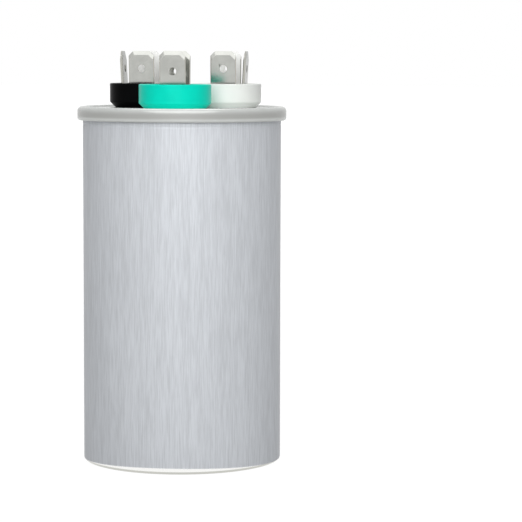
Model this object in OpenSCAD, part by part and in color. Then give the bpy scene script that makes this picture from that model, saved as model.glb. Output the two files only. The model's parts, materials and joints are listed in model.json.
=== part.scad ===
// Dual-run motor capacitor: a drawn aluminium can closed by a double-seamed cover, three
// terminal cups with quick-connect blades on the cover, and a two-section film winding inside.
// Origin at the centre of the base, +Z up, with the fan terminal's cup toward -Y.

/* [Can] */
// Outer diameter of the drawn can, below its seam
can_d = 47.4; // [47:0.2:60]
// Height of the closed can, from its base to the top of its seam
can_h = 85; // [70:1:130]
// Thickness of the can's wall
can_wall = 0.5; // [0.4:0.05:0.7]
// Thickness of the can's floor
can_floor = 0.7; // [0.5:0.1:1.2]
// Outer radius of the corner between wall and floor
corner_r = 1.5; // [1.2:0.1:2.5]

/* [Cover and seam] */
// Thickness of the cover's sheet
lid_t = 0.33; // [0.25:0.01:0.4]
// Height of the double seam
seam_h = 3.3; // [2.9:0.1:4]
// Gap between the folded layers of the seam
seam_gap = 0.05; // [0.02:0.01:0.08]
// Room over the can's hook, which the sealing compound fills
seam_void = 0.35; // [0.2:0.05:0.5]
// How far each hook stops short of the fold that it points into
hook_short = 0.12; // [0.05:0.01:0.3]
// Distance from the seam down to the shallow mark that the seaming rolls leave on the can
roll_mark_drop = 1; // [0.6:0.1:3]
// Width of that mark
roll_mark_w = 0.6; // [0.3:0.1:0.8]
// Depth of that mark
roll_mark_depth = 0.08; // [0.04:0.01:0.15]
// Depth of the groove inside the seam, below the seam's top
groove_depth = 3.2; // [2.6:0.1:4.5]
// Inside radius of the groove's round bottom
groove_r = 0.45; // [0.3:0.05:0.8]
// Drop of the cover's raised panel below the seam's top
panel_drop = 0.4; // [0.2:0.1:1.2]
// Outer radius of the panel's edge
panel_edge_r = 0.7; // [0.5:0.1:1]

/* [Terminal cups] */
// Outer diameter of each cup
cup_d = 17; // [16.4:0.2:18]
// Height of each cup above the cover's panel
cup_h = 5.8; // [5:0.1:8]
// Thickness of a cup's wall
cup_wall = 1.3; // [1:0.1:1.6]
// Thickness of a cup's floor
cup_floor = 1.8; // [1.6:0.1:2.4]
// Bevel round the foot of a cup
cup_bevel = 1.35; // [0.8:0.05:1.6]
// Radius of the circle on which the three cups stand
cup_ring_r = 11.4; // [11:0.1:12]
// Diameter of the neck under a cup, which goes through the cover
neck_d = 6.6; // [6:0.1:7.4]
// Depth of the seat in a cup's floor, which stops its blades from turning
seat_depth = 0.4; // [0.2:0.05:0.6]

/* [Blades] */
// Width of a quick-connect blade
tab_w = 6.3; // [4.8:0.1:6.4]
// Thickness of a blade
tab_t = 0.8; // [0.5:0.1:0.9]
// Height of the blades' tips above the underside of their base
tab_h = 12.15; // [10:0.05:15]
// Lean of a blade away from the middle of its cup, in degrees
tab_lean = 3; // [0:0.5:4]
// Inside radius of the bend at a blade's foot
tab_bend_r = 0.6; // [0.4:0.1:0.9]
// Length of the bevel on both faces of a tip
tip_len = 0.9; // [0.5:0.1:1.4]
// Thickness left at the end of a tip
tip_t = 0.4; // [0.25:0.05:0.45]
// Corner cut at each side of a tip
tip_corner = 1.1; // [0.6:0.1:1.6]
// Bevel along the edges of a blade
strip_edge = 0.12; // [0.05:0.01:0.2]
// Diameter of the latch hole in a blade
latch_d = 1.8; // [1.4:0.1:2]
// Distance from a blade's tip to the middle of its latch hole
latch_drop = 4.2; // [3.6:0.1:5]
// Distance from a cup's middle to its blades' feet, where blades stand on three or four sides
wide_reach = 4.85; // [4.5:0.05:5.1]
// Distance from a cup's middle to its blades' feet, where two blades stand
pair_reach = 3.65; // [3.3:0.05:4.6]

/* [Rivets, seals and tags] */
// Diameter of a rivet's shank
rivet_d = 3; // [2.4:0.1:3.4]
// Diameter of a rivet's heads
rivet_head_d = 5; // [4.4:0.1:5.6]
// Height of a rivet's heads
rivet_head_h = 0.9; // [0.6:0.1:1.2]
// Bore in the clinched end of a rivet
rivet_bore_d = 1.6; // [1:0.1:2]
// Outer diameter of the rubber gasket under a cup
gasket_d = 11; // [9.6:0.2:12]
// Thickness of the gasket
gasket_t = 0.6; // [0.4:0.05:0.8]
// Outer diameter of the insulating washer under the cover
washer_d = 12; // [10:0.2:13]
// Thickness of the washer
washer_t = 1.6; // [1.2:0.1:2]
// How far a cup's neck goes into the washer
neck_into = 0.6; // [0.3:0.1:0.8]
// Outer diameter of a solder tag's ring
tag_d = 6; // [5.6:0.1:6.4]
// Width of a tag's tail
tag_w = 3.6; // [2.8:0.1:4.4]
// Thickness of a tag
tag_t = 0.5; // [0.4:0.05:0.7]
// Distance from a rivet's axis to the tail of its tag
tag_reach = 4; // [3.8:0.1:4.4]
// Length of a tag, from the top of its ring to the end of its tail
tag_drop = 5.5; // [4.5:0.1:6]
// Diameter of the hole in a tag's tail
tag_hole_d = 1.3; // [1:0.1:1.6]

/* [Winding] */
// Room from the winding's upper end to the top of the seam
head_room = 18; // [17.5:0.5:24]
// Outer diameter of the tube that the film is wound on
core_d = 9; // [8:0.2:10]
// Bore of that tube
core_bore_d = 6; // [5:0.2:6.6]
// Outer diameter of the fan section of the winding
fan_d = 17.7; // [16.6:0.1:24]
// Thickness of the plain film between the two sections
section_film_t = 0.6; // [0.3:0.1:1.2]
// Thickness of the sprayed zinc on each end of the winding
spray_t = 0.6; // [0.4:0.1:0.9]
// Thickness of the insulating sleeve round the winding
sleeve_t = 0.4; // [0.2:0.05:0.8]

/* [Insulators and leads] */
// Thickness of the flat insulator parts above and below the winding
insulator_t = 1; // [0.8:0.1:1.5]
// Height of the chamber under the winding
base_chamber = 2.8; // [2.6:0.1:4]
// Height of the chamber between the winding and the upper insulator
top_chamber = 3; // [2:0.1:3.5]
// Width of the rings that the winding's ends bear on
bearing_w = 2; // [1.4:0.1:3]
// Diameter of a lead over its insulation
lead_d = 2; // [1.6:0.1:2.2]
// Diameter of a lead's bare wire
wire_d = 1; // [0.6:0.1:1.2]
// Radius of a lead's bends, at its middle
lead_bend_r = 2; // [1.8:0.1:2.2]
// Length of bare wire at a lead's lower end
bare_len = 1.2; // [0.8:0.1:2]
// Diameter of the solder pad that joins a lead to the sprayed zinc
pad_d = 2.6; // [2:0.1:2.8]
// Thickness of a solder pad
pad_t = 0.5; // [0.3:0.1:0.6]
// Distance from the axis to the common lead's pad under the winding
common_pad_r = 13; // [10:0.5:16]

/* [Fits] */
// Clearance round a neck, a rivet or a gasket in its hole
hole_fit = 0.08; // [0.04:0.01:0.15]
// Clearance round a blade strip in its seat
seat_fit = 0.15; // [0.05:0.05:0.3]
// Clearance between the insulating sleeve and the can
sleeve_fit = 0.2; // [0.1:0.05:0.5]
// Clearance between layers that are wound on each other
wound_fit = 0.03; // [0.01:0.01:0.1]
// Clearance round a lead in an insulator
lead_fit = 0.3; // [0.1:0.05:0.5]

/* [Hidden] */
$fn = 96;

eps = 0.01;             // overshoot of a cut past the face that it opens
edge_round = 0.3;       // rounding of a cup's rim

// Where each terminal stands round the axis, and which sides of its cup have a blade
common_at = 150;
fan_at = -90;
compressor_at = 30;
common_sides = [0, 90, 180, 270];
fan_sides = [90, 270];
compressor_sides = [0, 90, 270];

// The can and the folds of the seam, from the can's wall outward
can_r = can_d / 2;
can_in_r = can_r - can_wall;
hook_r = lid_t / 2 + seam_gap;                  // inside of the can's hook, round the cover's hook
fold_r = can_r + hook_r;                        // radius at which the can and the cover fold over
crown_r = hook_r + can_wall + seam_gap;         // inside of the cover's crown
crown_z = can_h - crown_r - lid_t;              // middle of the cover's crown
hook_z = crown_z - seam_void;                   // middle of the can's hook
under_r = can_wall / 2 + seam_gap;              // inside of the cover's lower fold
under_at = fold_r + hook_r + can_wall / 2;      // radius of the middle of the lower fold
under_z = can_h - seam_h + under_r + lid_t;     // middle of the lower fold
chuck_r = can_in_r - seam_gap;                  // outside of the cover's wall inside the can

// The groove and the raised panel
groove_at = chuck_r - lid_t - groove_r;
groove_z = can_h - groove_depth + groove_r;
riser_r = groove_at - groove_r;                 // outside of the panel's upright edge
panel_z = can_h - panel_drop;

// The stack of each terminal, from the panel up and down
seat_z = panel_z + cup_floor - seat_depth;      // underside of the blades' base
head_z = seat_z + tab_t;                        // underside of a rivet's upper head
washer_z = panel_z - lid_t - washer_t;
tag_z = washer_z - tag_t;
tag_end_z = tag_z + tag_t - tag_drop;

// The winding and what carries it
base_top = can_floor + insulator_t;
spray_z = base_top + base_chamber;
film_z = spray_z + spray_t;
winding_top = can_h - head_room;
film_h = winding_top - spray_t - film_z;
sleeve_r = can_in_r - sleeve_fit;
winding_r = sleeve_r - sleeve_t - wound_fit;
core_r = core_d / 2;
fan_r = fan_d / 2;
film_r = fan_r + wound_fit + section_film_t;
plate_z = winding_top + top_chamber;            // underside of the upper insulator's plate

// The leads hang beside their tags' tails
lead_from_tail = (tag_t + wire_d) / 2;
fan_lead_r = cup_ring_r - tag_reach - lead_from_tail;
compressor_lead_r = cup_ring_r + tag_reach + lead_from_tail;
wire_top = tag_z - tag_t;
jacket_top = tag_end_z - wire_d / 2;

// Moves its children to the terminal that stands at an angle round the axis
module at_terminal(angle) {
    translate([cup_ring_r * cos(angle), cup_ring_r * sin(angle), 0]) children();
}

// A ring between two radii, standing on z
module ring(r_in, r_out, z, h) {
    translate([0, 0, z]) difference() {
        cylinder(r = r_out, h = h);
        translate([0, 0, -eps]) cylinder(r = r_in, h = h + 2 * eps);
    }
}

// Half of the section of a round-bottomed vessel, with its floor on the X axis
module vessel_section(r, h, corner) {
    square([r - corner, corner]);
    translate([r - corner, corner]) intersection() {
        circle(corner);
        translate([0, -corner]) square(corner);
    }
    translate([0, corner]) square([r, h - corner]);
}

// A quarter of a folded sheet's bend, in the plane, turned anticlockwise from the first quadrant
module quarter_bend(r, t, turn) {
    rotate(turn) intersection() {
        difference() {
            circle(r + t);
            circle(r);
        }
        square(r + t);
    }
}

// Half a bend, open downward (side = 1) or upward (side = -1)
module half_bend(r, t, side) {
    for (turn = [0, 90]) scale([1, side]) quarter_bend(r, t, turn);
}

// The drawn can: wall, floor, the rolls' mark and the hook that the cover is folded round
module can() color("#d5d7db") {
    hook_end = under_z + hook_short;
    roll_r = (roll_mark_w * roll_mark_w / 4 + roll_mark_depth * roll_mark_depth) / (2 * roll_mark_depth);
    rotate_extrude() {
        difference() {
            vessel_section(can_r, hook_z, corner_r);
            translate([0, can_floor]) vessel_section(can_in_r, can_h, corner_r - can_wall);
            translate([can_r + roll_r - roll_mark_depth, can_h - seam_h - roll_mark_drop])
                circle(roll_r);
        }
        translate([fold_r, hook_z]) half_bend(hook_r, can_wall, 1);
        translate([fold_r + hook_r, hook_end]) square([can_wall, hook_z - hook_end]);
    }
}

// The section of the cover, from its hook over the seam, down the groove and across the panel
module lid_section() {
    translate([can_r + seam_gap, under_z]) square([lid_t, hook_z - hook_short - under_z]);
    translate([under_at, under_z]) half_bend(under_r, lid_t, -1);
    translate([under_at + under_r, under_z]) square([lid_t, crown_z - under_z]);
    translate([fold_r, crown_z]) half_bend(crown_r, lid_t, 1);
    translate([chuck_r - lid_t, groove_z]) square([lid_t, crown_z - groove_z]);
    translate([groove_at, groove_z]) half_bend(groove_r, lid_t, -1);
    riser_top = panel_z - panel_edge_r;
    translate([riser_r - lid_t, groove_z]) square([lid_t, riser_top - groove_z]);
    translate([riser_r - panel_edge_r, riser_top]) quarter_bend(panel_edge_r - lid_t, lid_t, 0);
    translate([0, panel_z - lid_t]) square([riser_r - panel_edge_r, lid_t]);
}

// The cover: one pressing, with a hole for each terminal's neck
module lid() color("#c9c9c3") difference() {
    rotate_extrude() lid_section();
    for (angle = [common_at, fan_at, compressor_at]) at_terminal(angle)
        translate([0, 0, panel_z - 2 * lid_t]) cylinder(d = neck_d + 2 * hole_fit, h = 3 * lid_t);
}

// The bead of sealing compound, between the crown of the cover and the can's hook
module seam_compound() color("#5a5f4e") rotate_extrude() intersection() {
    difference() {
        translate([fold_r, crown_z]) circle(crown_r - seam_gap / 4);
        translate([fold_r, hook_z]) circle(hook_r + can_wall + seam_gap / 4);
    }
    translate([fold_r - crown_r / 2, crown_z]) square([crown_r, crown_r]);
}

// Half of the outer section of a cup: bevelled foot, upright wall, rounded rim
module cup_outline() {
    r = cup_d / 2;
    polygon([[0, 0], [r - cup_bevel, 0], [r, cup_bevel], [r, cup_h - edge_round],
             [r - edge_round, cup_h], [0, cup_h]]);
    translate([r - edge_round, cup_h - edge_round]) circle(edge_round);
}

// The hollow of a cup, down to its floor
module cup_hollow() {
    r = cup_d / 2 - cup_wall;
    translate([0, cup_floor]) square([r, cup_h]);
    difference() {
        translate([0, cup_h - edge_round]) square([r + edge_round, 1]);
        translate([r + edge_round, cup_h - edge_round]) circle(edge_round);
    }
}

// A moulded cup with its neck, its gasket's pocket and the seat for its blades
module cup(sides, reach) translate([0, 0, panel_z]) {
    difference() {
        union() {
            rotate_extrude() difference() {
                cup_outline();
                cup_hollow();
            }
            translate([0, 0, -lid_t - neck_into]) cylinder(d = neck_d, h = lid_t + neck_into + gasket_t);
        }
        ring(neck_d / 2, gasket_d / 2 + hole_fit, -eps, gasket_t + eps);
        for (side = sides) rotate(side)
            translate([0, -tab_w / 2 - seat_fit, cup_floor - seat_depth])
                cube([reach + tab_t / 2 + seat_fit, tab_w + 2 * seat_fit, cup_h]);
        translate([0, 0, -cup_h]) cylinder(d = rivet_d + 2 * hole_fit, h = 2 * cup_h);
    }
}

// The side outline of a bent strip, in the plane: along the X axis, round its bend, up its leg
module strip_outline(t, reach, bend, lean, rise) {
    foot = bend_start(t, reach, bend, lean);
    out = bend + t;
    translate([-foot / 2, 0]) square([1.5 * foot, t]);
    translate([foot, out]) {
        intersection() {
            difference() {
                circle(out);
                circle(bend);
            }
            polygon([[0, 0], [0, -2 * out], [2 * out, -2 * out], [2 * out, -2 * out * tan(lean)]]);
        }
        rotate(-lean) translate([bend, 0]) square([t, leg_length(t, bend, lean, rise)]);
    }
}

// A strip that runs out along +X on z = 0, bends upward at its foot and rises, leaning outward.
// The children are cut from the upright leg: their X is its thickness, from the bend's inner side,
// their Y runs along its width, and their Z up the leg, from the bend.
module bent_strip(w, t, reach, bend, lean, rise) difference() {
    rotate([90, 0, 0]) linear_extrude(w, center = true) strip_outline(t, reach, bend, lean, rise);
    translate([bend_start(t, reach, bend, lean), 0, t + bend]) rotate([0, lean, 0])
        translate([bend, 0, 0]) children();
}

// Where the bend of a strip begins, for a leg whose foot stands at the given reach
function bend_start(t, reach, bend, lean) = reach - (bend + t / 2) * cos(lean);

// Length of the leg whose end reaches the given height above the underside of its strip
function leg_length(t, bend, lean, rise) =
    (rise - t - bend + (bend + t / 2) * sin(lean)) / cos(lean);

// What a blade loses: the bevels of its tip and long edges, its corners and the latch hole
module blade_cuts(leg) {
    slope = (tab_t - tip_t) / 2;
    for (side = [0, 1]) translate([side * tab_t, 0, leg]) mirror([side, 0, 0])
        rotate([90, 0, 0]) linear_extrude(tab_w + 2 * eps, center = true)
            polygon([[-eps, -tip_len - eps * tip_len / slope], [slope + eps * slope / tip_len, eps],
                     [-eps, eps]]);
    for (side = [-1, 1]) translate([-eps, side * tab_w / 2, leg]) mirror([0, (1 - side) / 2, 0])
        rotate([90, 0, 90]) linear_extrude(tab_t + 2 * eps)
            polygon([[-tip_corner - eps, eps], [eps, eps], [eps, -tip_corner - eps]]);
    for (x = [0, tab_t]) for (side = [-1, 1]) translate([x, side * tab_w / 2, leg / 2])
        rotate(45) cube([strip_edge * sqrt(2), strip_edge * sqrt(2), leg + eps], center = true);
    translate([-eps, 0, leg - latch_drop]) rotate([0, 90, 0])
        cylinder(d = latch_d, h = tab_t + 2 * eps);
}

// One stamping with a blade on each of the given sides, riveted through its middle
module blades(sides, reach) translate([0, 0, seat_z]) difference() {
    for (side = sides) rotate(side)
        bent_strip(tab_w, tab_t, reach, tab_bend_r, tab_lean, tab_h)
            blade_cuts(leg_length(tab_t, tab_bend_r, tab_lean, tab_h));
    translate([0, 0, -tab_t]) cylinder(d = rivet_d + 2 * hole_fit, h = 3 * tab_t);
}

// Half of the section of a domed head of the given size, flat side on the X axis
module dome_section(d, h) {
    ball = (d * d / 4 + h * h) / (2 * h);
    intersection() {
        translate([0, h - ball]) circle(ball);
        square([d / 2, h]);
    }
}

// The rivet that holds a terminal together, with the bore of its clinched end
module rivet() difference() {
    union() {
        translate([0, 0, head_z]) rotate_extrude() dome_section(rivet_head_d, rivet_head_h);
        translate([0, 0, tag_z - rivet_head_h / 2]) cylinder(d = rivet_d, h = head_z - tag_z + rivet_head_h);
        translate([0, 0, tag_z]) mirror([0, 0, 1])
            rotate_extrude() dome_section(rivet_head_d, rivet_head_h);
    }
    translate([0, 0, tag_z - rivet_head_h - eps])
        cylinder(d = rivet_bore_d, h = rivet_head_h + tag_t + washer_t / 2);
}

// The rubber gasket round a cup's neck
module gasket() ring(neck_d / 2 + hole_fit, gasket_d / 2, panel_z, gasket_t);

// The insulating washer under the cover, recessed for the end of the neck
module washer() translate([0, 0, washer_z]) difference() {
    cylinder(d = washer_d, h = washer_t);
    translate([0, 0, -eps]) cylinder(d = rivet_d + 2 * hole_fit, h = washer_t);
    translate([0, 0, washer_t - neck_into - hole_fit])
        cylinder(d = neck_d + 2 * hole_fit, h = washer_t);
}

// A solder tag: a ring under the washer, and a tail bent down, with a hole for the wire
module tag() translate([0, 0, tag_z + tag_t]) mirror([0, 0, 1]) difference() {
    union() {
        cylinder(d = tag_d, h = tag_t);
        bent_strip(tag_w, tag_t, tag_reach, tag_t, 0, tag_drop)
            translate([-eps, 0, leg_length(tag_t, tag_t, 0, tag_drop) - tag_w / 2])
                rotate([0, 90, 0]) cylinder(d = tag_hole_d, h = tag_t + 2 * eps);
    }
    translate([0, 0, -eps]) cylinder(d = rivet_d + 2 * hole_fit, h = tag_t + 2 * eps);
}

// A straight length of wire between two points of the plane, each given as [x, z]
module wire_run(from, to, d) {
    way = to - from;
    translate([from.x, 0, from.y]) rotate([0, atan2(way.x, way.y), 0])
        cylinder(d = d, h = norm(way));
}

// A quarter turn of wire about the point at = [x, z], anticlockwise from an angle
module wire_turn(at, from, d) {
    translate([at.x, 0, at.y]) rotate([90, 0, 0]) rotate([0, 0, from])
        rotate_extrude(angle = 90) translate([lead_bend_r, 0]) circle(d = d);
}

// The disc of solder that joins a lead to the sprayed zinc
module solder_pad(x, z) translate([x, 0, z]) cylinder(d = pad_d, h = pad_t);

// A lead that hangs straight from its tag to the upper end of the winding
module straight_lead(x) {
    wire_run([x, winding_top + pad_t / 2], [x, wire_top], wire_d);
    wire_run([x, winding_top + pad_t + bare_len], [x, jacket_top], lead_d);
    solder_pad(x, winding_top);
}

// The common lead: from its tag over to the axis, down through the core and out under the winding
module folded_lead(x) {
    b = lead_bend_r;
    over_z = jacket_top - 2 * wire_d - b;
    run_z = (spray_z + base_top) / 2;
    pad_z = run_z - wire_d / 2 - pad_t / 2;
    wire_run([x, jacket_top - wire_d], [x, wire_top], wire_d);
    wire_run([x, over_z + b], [x, jacket_top], lead_d);
    wire_turn([x - b, over_z + b], -90, lead_d);
    wire_run([x - b, over_z], [b, over_z], lead_d);
    wire_turn([b, over_z - b], 90, lead_d);
    wire_run([0, over_z - b], [0, run_z + b], lead_d);
    wire_turn([b, run_z + b], 180, lead_d);
    wire_run([b, run_z], [common_pad_r - pad_d / 2 - bare_len, run_z], lead_d);
    wire_run([common_pad_r - pad_d / 2 - bare_len, run_z], [common_pad_r, run_z], wire_d);
    translate([common_pad_r, 0, pad_z]) cylinder(d = pad_d, h = spray_z - pad_z);
}

// The upper insulator: a plate with holes for the leads, on a ring that bears on the winding
module top_insulator() color("#e8e2cf") {
    difference() {
        translate([0, 0, plate_z]) cylinder(r = winding_r, h = insulator_t);
        for (at = [[0, 0], [fan_lead_r, fan_at], [compressor_lead_r, compressor_at]])
            rotate(at[1]) translate([at[0], 0, plate_z - eps])
                cylinder(d = lead_d + 2 * lead_fit, h = insulator_t + 2 * eps);
    }
    ring(winding_r - bearing_w, winding_r, winding_top, top_chamber);
}

// The base insulator: a disc on the can's floor, with a ring that carries the winding
module base_insulator() color("#e8e2cf") {
    bevel = corner_r - can_wall;
    rotate_extrude() polygon([[0, can_floor], [sleeve_r - bevel, can_floor],
        [sleeve_r, can_floor + bevel], [sleeve_r, base_top + bevel], [winding_r, base_top + bevel],
        [winding_r, spray_z], [winding_r - bearing_w, spray_z], [winding_r - bearing_w, base_top],
        [0, base_top]]);
}

// The sleeve that keeps the winding from the can
module sleeve() color("#d9c9a0") {
    foot = base_top + corner_r - can_wall;
    ring(sleeve_r - sleeve_t, sleeve_r, foot, plate_z - foot);
}

// The tube that the film is wound on
module core_tube() color("#f0efe9") ring(core_bore_d / 2, core_r, spray_z, winding_top - spray_z);

// The two sections of the roll, the plain film between them, and the zinc on their ends
module fan_winding() color("#cfd2cf") ring(core_r + wound_fit, fan_r, film_z, film_h);
module section_film() color("#dfe3dc") ring(fan_r + wound_fit, film_r, film_z, winding_top - film_z);
module compressor_winding() color("#c3c7c5") ring(film_r + wound_fit, winding_r, film_z, film_h);
module common_spray() color("#8d9093") ring(core_r + wound_fit, winding_r, spray_z, spray_t);
module fan_spray() color("#8d9093") ring(core_r + wound_fit, fan_r, winding_top - spray_t, spray_t);
module compressor_spray() color("#8d9093")
    ring(film_r + wound_fit, winding_r, winding_top - spray_t, spray_t);

// The three terminals
module common_cup() color("#0b0b0b") at_terminal(common_at) cup(common_sides, wide_reach);
module fan_cup() color("#08dcc2") at_terminal(fan_at) cup(fan_sides, pair_reach);
module compressor_cup() color("#e2e6e2") at_terminal(compressor_at) cup(compressor_sides, wide_reach);
module common_blades() color("#b8b9b5") at_terminal(common_at) blades(common_sides, wide_reach);
module fan_blades() color("#b8b9b5") at_terminal(fan_at) blades(fan_sides, pair_reach);
module compressor_blades() color("#b8b9b5")
    at_terminal(compressor_at) blades(compressor_sides, wide_reach);
module common_rivet() color("#c8c8c8") at_terminal(common_at) rivet();
module fan_rivet() color("#c8c8c8") at_terminal(fan_at) rivet();
module compressor_rivet() color("#c8c8c8") at_terminal(compressor_at) rivet();
module common_gasket() color("#2b2b2b") at_terminal(common_at) gasket();
module fan_gasket() color("#2b2b2b") at_terminal(fan_at) gasket();
module compressor_gasket() color("#2b2b2b") at_terminal(compressor_at) gasket();
module common_washer() color("#8a6a45") at_terminal(common_at) washer();
module fan_washer() color("#8a6a45") at_terminal(fan_at) washer();
module compressor_washer() color("#8a6a45") at_terminal(compressor_at) washer();
module common_tag() color("#c9b26a") at_terminal(common_at) rotate(common_at + 180) tag();
module fan_tag() color("#c9b26a") at_terminal(fan_at) rotate(fan_at + 180) tag();
module compressor_tag() color("#c9b26a") at_terminal(compressor_at) rotate(compressor_at) tag();
module common_lead() color("#303030") rotate(common_at) folded_lead(fan_lead_r);
module fan_lead() color("#2f6f4f") rotate(fan_at) straight_lead(fan_lead_r);
module compressor_lead() color("#9a3b2f") rotate(compressor_at) straight_lead(compressor_lead_r);

can();
lid();
seam_compound();
common_cup();
fan_cup();
compressor_cup();
common_blades();
fan_blades();
compressor_blades();
common_rivet();
fan_rivet();
compressor_rivet();
common_gasket();
fan_gasket();
compressor_gasket();
common_washer();
fan_washer();
compressor_washer();
common_tag();
fan_tag();
compressor_tag();
common_lead();
fan_lead();
compressor_lead();
top_insulator();
base_insulator();
sleeve();
core_tube();
fan_winding();
section_film();
compressor_winding();
common_spray();
fan_spray();
compressor_spray();
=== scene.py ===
"""Looks of a dual-run motor capacitor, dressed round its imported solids.

The can, its seamed cover, the three terminal cups and their blades are new surfaces, worked out
with numpy from the solids' own places and a few section sizes. What the sealed can holds keeps
its solids and gets finishes of its own. Sizes in this file are in millimetres.
"""

from __future__ import annotations

import json
import logging
import math
from dataclasses import dataclass, field
from enum import Enum

import bmesh
import bpy
import numpy as np
from mathutils import Matrix, Vector


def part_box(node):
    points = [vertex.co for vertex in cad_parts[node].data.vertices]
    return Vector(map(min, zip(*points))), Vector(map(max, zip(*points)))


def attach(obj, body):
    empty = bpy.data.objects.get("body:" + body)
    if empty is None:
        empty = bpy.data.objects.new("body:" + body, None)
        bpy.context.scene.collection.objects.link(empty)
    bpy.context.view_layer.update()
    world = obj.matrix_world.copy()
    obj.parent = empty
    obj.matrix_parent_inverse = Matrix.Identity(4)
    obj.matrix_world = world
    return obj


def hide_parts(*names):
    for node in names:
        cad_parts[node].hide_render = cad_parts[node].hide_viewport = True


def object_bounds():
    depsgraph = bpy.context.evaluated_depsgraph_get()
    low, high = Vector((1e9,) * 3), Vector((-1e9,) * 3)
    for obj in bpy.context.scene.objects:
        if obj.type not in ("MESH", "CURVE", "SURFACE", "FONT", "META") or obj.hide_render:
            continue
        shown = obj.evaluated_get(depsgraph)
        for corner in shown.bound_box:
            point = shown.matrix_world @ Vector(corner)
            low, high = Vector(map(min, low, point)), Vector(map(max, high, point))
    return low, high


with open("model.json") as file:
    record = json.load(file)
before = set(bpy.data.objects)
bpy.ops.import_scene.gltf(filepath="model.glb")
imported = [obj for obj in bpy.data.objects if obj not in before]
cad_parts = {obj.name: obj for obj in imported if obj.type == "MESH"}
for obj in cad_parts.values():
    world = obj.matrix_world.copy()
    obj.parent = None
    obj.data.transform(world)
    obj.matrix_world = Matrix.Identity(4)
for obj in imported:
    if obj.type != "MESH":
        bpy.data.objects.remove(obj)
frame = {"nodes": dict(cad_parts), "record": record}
CAD_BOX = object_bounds()

MM = 0.001
SUPPORT = 0.04  # a loop this far from a bend keeps the shading of the flat beside it flat
CLEAR = 1.0  # a bar or block that cuts a piece stands out of it at least this far
MIDDLE = (0.3, 0.7)  # where most values of a noise lie
LOG = logging.getLogger("capacitor")

Array = np.ndarray
Colour = tuple[float, float, float]
Pair = tuple[float, float]
Node = bpy.types.Node
Piece = bpy.types.Object
Socket = bpy.types.NodeSocket


# ---------------------------------------------------------------------------------- surfaces


@dataclass
class FoldedLine:
    """One face of a folded sheet, drawn in a plane as straight runs and round bends.

    Attributes:
        start: First point of the line, (across, up).
        heading: Direction of the first run, in degrees anticlockwise from the first axis.
        steps: Points in a bend of 90 degrees.
    """

    start: tuple[float, float]
    heading: float
    steps: int = 10
    points: list[Array] = field(default_factory=list)
    normals: list[Array] = field(default_factory=list)

    def __post_init__(self) -> None:
        """Puts the first point on the line."""
        self._add(np.array([self.start], float), np.array([self.heading]))

    def _add(self, points: Array, headings: Array) -> None:
        """Adds points whose left-hand normals are (-sin heading, cos heading).

        Args:
            points: The points (n, 2).
            headings: Heading of the line at each point, in degrees.
        """
        angle = np.radians(headings)
        self.points.append(points)
        self.normals.append(np.column_stack([-np.sin(angle), np.cos(angle)]))

    def run(self, length: float, extra: tuple[float, ...] = ()) -> FoldedLine:
        """Adds a straight run: start + s * (cos heading, sin heading), s near 0 to length.

        Args:
            length: Length of the run.
            extra: Further distances along the run that get a point.

        Returns:
            The line itself, so that calls can follow each other.
        """
        margin = min(SUPPORT, length / 4)
        s = np.array(sorted({margin, *extra, length - margin, length}))
        angle = math.radians(self.heading)
        way = np.array([math.cos(angle), math.sin(angle)])
        self._add(self.points[-1][-1] + s[:, None] * way, np.full(len(s), self.heading))
        return self

    def bend(self, radius: float, turn: float) -> FoldedLine:
        """Adds an arc: centre - side * radius * normal(heading), heading turning by turn.

        Args:
            radius: Radius of this face of the sheet.
            turn: Angle in degrees, positive to the left.

        Returns:
            The line itself.
        """
        side = math.copysign(1.0, turn)
        centre = self.points[-1][-1] + side * radius * self.normals[-1][-1]
        count = max(2, round(self.steps * abs(turn) / 90))
        headings = self.heading + turn * np.linspace(0, 1, count + 1)[1:]
        angle = np.radians(headings)
        normal = np.column_stack([-np.sin(angle), np.cos(angle)])
        self._add(centre - side * radius * normal, headings)
        self.heading += turn
        return self

    def face(self) -> tuple[Array, Array]:
        """Returns the points of the line and their left-hand normals."""
        return np.vstack(self.points), np.vstack(self.normals)

    def section(self, thickness: Array | float, from_axis: bool) -> Array:
        """Closes the line into the section of a sheet that lies on its left.

        The far face is point + thickness * normal. Both ends of the result are on the axis.

        Args:
            thickness: Thickness of the sheet, the same everywhere or at each point.
            from_axis: Whether the line starts on the axis, or ends on it.

        Returns:
            Points (n, 2) of the section, from axis to axis.
        """
        near, normal = self.face()
        far = near + normal * np.reshape(thickness, (-1, 1))
        parts = [near, far[::-1]] if from_axis else [far[::-1], near]
        return np.vstack(parts)


def rounded_outline(corners: list[tuple[float, float, float]], steps: int = 6) -> Array:
    """Rounds the corners of a closed polygon.

    Each corner with rounding r loses r * tan(turn / 2) of both its sides. Its arc is
    centre + r * (cos, sin), and a support point stands on each side just past it.

    Args:
        corners: (x, y, r) of each corner, in order.
        steps: Spans in each arc.

    Returns:
        Points (n, 2) in the same order.
    """
    data = np.array(corners, float)
    at, r = data[:, :2], data[:, 2:]
    into = at - np.roll(at, 1, axis=0)
    into /= np.linalg.norm(into, axis=1, keepdims=True)
    out = np.roll(into, -1, axis=0)
    cross = into[:, :1] * out[:, 1:] - into[:, 1:] * out[:, :1]
    turn = np.arctan2(cross, np.sum(into * out, axis=1, keepdims=True))
    side = np.sign(turn)
    cut = r * np.tan(np.abs(turn) / 2)
    normal = np.column_stack([-into[:, 1], into[:, 0]])
    centre = at - into * cut + side * r * normal
    angle = np.arctan2(-side * normal[:, 1:], -side * normal[:, :1])
    angle = angle + turn * np.linspace(0, 1, steps + 1)
    arc = centre[:, None] + r[:, None] * np.stack([np.cos(angle), np.sin(angle)], axis=-1)
    before = (at - into * (cut + SUPPORT))[:, None]
    after = (at + out * (cut + SUPPORT))[:, None]
    return np.concatenate([before, arc, after], axis=1).reshape(-1, 2)


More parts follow.
